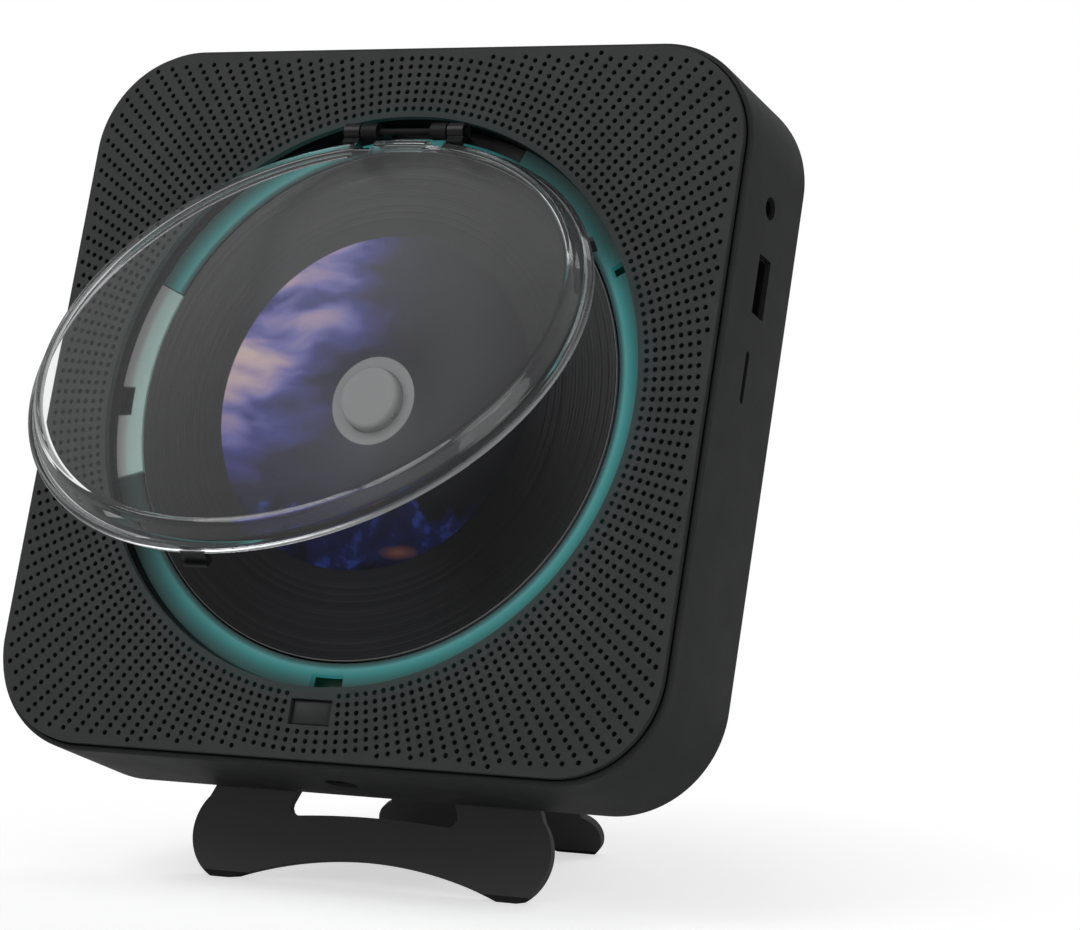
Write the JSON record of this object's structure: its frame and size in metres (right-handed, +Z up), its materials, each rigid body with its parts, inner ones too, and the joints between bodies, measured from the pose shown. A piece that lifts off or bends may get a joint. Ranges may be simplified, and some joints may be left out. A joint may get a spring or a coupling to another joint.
{
  "type": "wall mounted disc player",
  "caption": "Square disc player with a perforated front, a glowing ring round the disc well, a hinged clear cover and a folding desk stand.",
  "frame": {"origin": "on the table, under the middle of the whole player with its cover and rear leg open", "axes": "+Z up, the front of the player faces -Y, +X towards the side with the sockets"},
  "size_m": [0.17, 0.1398, 0.1907],
  "materials": {
    "case_plastic": "fine textured charcoal moulding",
    "grille_metal": "perforated sheet, matt dark grey powder coat",
    "ring_plastic": "lit ring, translucent grey plastic glowing teal",
    "window_plastic": "pale tinted display window",
    "ir_plastic": "dark infrared filter plastic",
    "clear_plastic": "clear smoky moulded acrylic",
    "inner_plastic": "black moulding",
    "key_plastic": "satin charcoal keys",
    "disc_plastic": "printed disc with a mirror layer underneath",
    "steel": "bright steel",
    "chrome": "polished steel",
    "sheet_steel": "folded and drilled sheet, matt black powder coat",
    "circuit_board": "green lacquered board",
    "component_plastic": "black component bodies",
    "led_plastic": "small diffused lamps",
    "rubber": "soft black rubber",
    "paper_cone": "pressed black paper",
    "magnet": "dark plated steel cup",
    "lens_glass": "small clear lens"
  },
  "bodies": {
    "case": {"back_cover": "case_plastic", "board_components": "component_plastic", "button_board": "circuit_board", "card_socket": "steel", "case_screws": "steel", "chassis_dampers": "rubber", "cover_hinge_pin": "chrome", "disc_well": "inner_plastic", "display_module": "component_plastic", "display_window": "window_plastic", "front_foot_pads": "rubber", "guide_rods": "chrome", "headphone_jack": "inner_plastic", "hinge_bracket": "inner_plastic", "housing_shell": "case_plastic", "ir_receiver": "component_plastic", "ir_window": "ir_plastic", "led_ring_board": "circuit_board", "lid_switch": "component_plastic", "light_ring": "ring_plastic", "main_board": "circuit_board", "mechanism_chassis": "steel", "port_board": "circuit_board", "power_inlet": "inner_plastic", "ring_bezel": "inner_plastic", "ring_leds": "led_plastic", "sled_motor": "steel", "speaker_basket_left": "steel", "speaker_basket_right": "steel", "speaker_cone_left": "paper_cone", "speaker_cone_right": "paper_cone", "speaker_grille": "grille_metal", "speaker_magnet_left": "magnet", "speaker_magnet_right": "magnet", "spindle_motor": "steel", "stand_front_leg": "sheet_steel", "stand_hinge_pin": "steel", "stand_screws": "steel", "tact_switches": "component_plastic", "usb_socket": "chrome"},
    "cover": {"dust_cover": "clear_plastic"},
    "spindle": {"spindle_hub": "inner_plastic", "clamp_balls": "chrome", "spindle_shaft": "chrome", "compact_disc": "disc_plastic"},
    "sled": {"pickup_sled": "inner_plastic"},
    "lens": {"pickup_lens": "lens_glass"},
    "screw": {"lead_screw": "chrome"},
    "latch": {"latch_button": "key_plastic"},
    "catch": {"latch_catch": "inner_plastic"},
    "rear_leg": {"stand_rear_leg": "sheet_steel", "rear_foot_pads": "rubber"},
    "button_mode_key": {"button_mode": "key_plastic"},
    "button_next_key": {"button_next": "key_plastic"},
    "button_play_key": {"button_play": "key_plastic"},
    "button_power_key": {"button_power": "key_plastic"},
    "button_previous_key": {"button_previous": "key_plastic"},
    "button_volume_down_key": {"button_volume_down": "key_plastic"},
    "button_volume_up_key": {"button_volume_up": "key_plastic"}
  },
  "joints": [
    {"name": "cover_hinge", "type": "hinge", "parent": "case", "child": "cover", "pos_m": [0, 0.02572, 0.17127], "axis": [-1, 0, 0], "range_deg": [-29.3, 40.7]},
    {"name": "disc_spin", "type": "hinge", "parent": "case", "child": "spindle", "pos_m": [0, 0.00999, 0.10995], "axis": [0, -0.9397, 0.342], "continuous": true},
    {"name": "sled_travel", "type": "slide", "parent": "case", "child": "sled", "axis": [0, 0.342, 0.9397], "range_m": [0, 0.032]},
    {"name": "lens_focus", "type": "slide", "parent": "sled", "child": "lens", "axis": [0, -0.9397, 0.342], "range_m": [-0.0004, 0.0004], "stiffness_N_per_m": 30},
    {"name": "lead_screw_spin", "type": "hinge", "parent": "case", "child": "screw", "pos_m": [-0.0215, 0.03134, 0.13411], "axis": [0, 0.342, 0.9397], "range_deg": [0, 3850]},
    {"name": "latch_press", "type": "slide", "parent": "case", "child": "latch", "axis": [0, 0.9397, -0.342], "range_m": [0, 0.0008], "stiffness_N_per_m": 600},
    {"name": "catch_slide", "type": "slide", "parent": "case", "child": "catch", "axis": [0, -0.342, -0.9397], "range_m": [0, 0.0008]},
    {"name": "rear_leg_fold", "type": "hinge", "parent": "case", "child": "rear_leg", "pos_m": [0, 0.03885, 0.08455], "axis": [1, 0, 0], "range_deg": [-39.5, 0]},
    {"name": "button_mode_press", "type": "slide", "parent": "case", "child": "button_mode_key", "axis": [0, -0.342, -0.9397], "range_m": [0, 0.0004], "stiffness_N_per_m": 500},
    {"name": "button_next_press", "type": "slide", "parent": "case", "child": "button_next_key", "axis": [0, -0.342, -0.9397], "range_m": [0, 0.0004], "stiffness_N_per_m": 500},
    {"name": "button_play_press", "type": "slide", "parent": "case", "child": "button_play_key", "axis": [0, -0.342, -0.9397], "range_m": [0, 0.0004], "stiffness_N_per_m": 500},
    {"name": "button_power_press", "type": "slide", "parent": "case", "child": "button_power_key", "axis": [0, -0.342, -0.9397], "range_m": [0, 0.0004], "stiffness_N_per_m": 500},
    {"name": "button_previous_press", "type": "slide", "parent": "case", "child": "button_previous_key", "axis": [0, -0.342, -0.9397], "range_m": [0, 0.0004], "stiffness_N_per_m": 500},
    {"name": "button_volume_down_press", "type": "slide", "parent": "case", "child": "button_volume_down_key", "axis": [0, -0.342, -0.9397], "range_m": [0, 0.0004], "stiffness_N_per_m": 500},
    {"name": "button_volume_up_press", "type": "slide", "parent": "case", "child": "button_volume_up_key", "axis": [0, -0.342, -0.9397], "range_m": [0, 0.0004], "stiffness_N_per_m": 500}
  ],
  "couplings": [
    {"joint": "lead_screw_spin", "follows": "sled_travel", "rad_per_m": 2094.4},
    {"joint": "catch_slide", "follows": "latch_press", "ratio": 1}
  ]
}
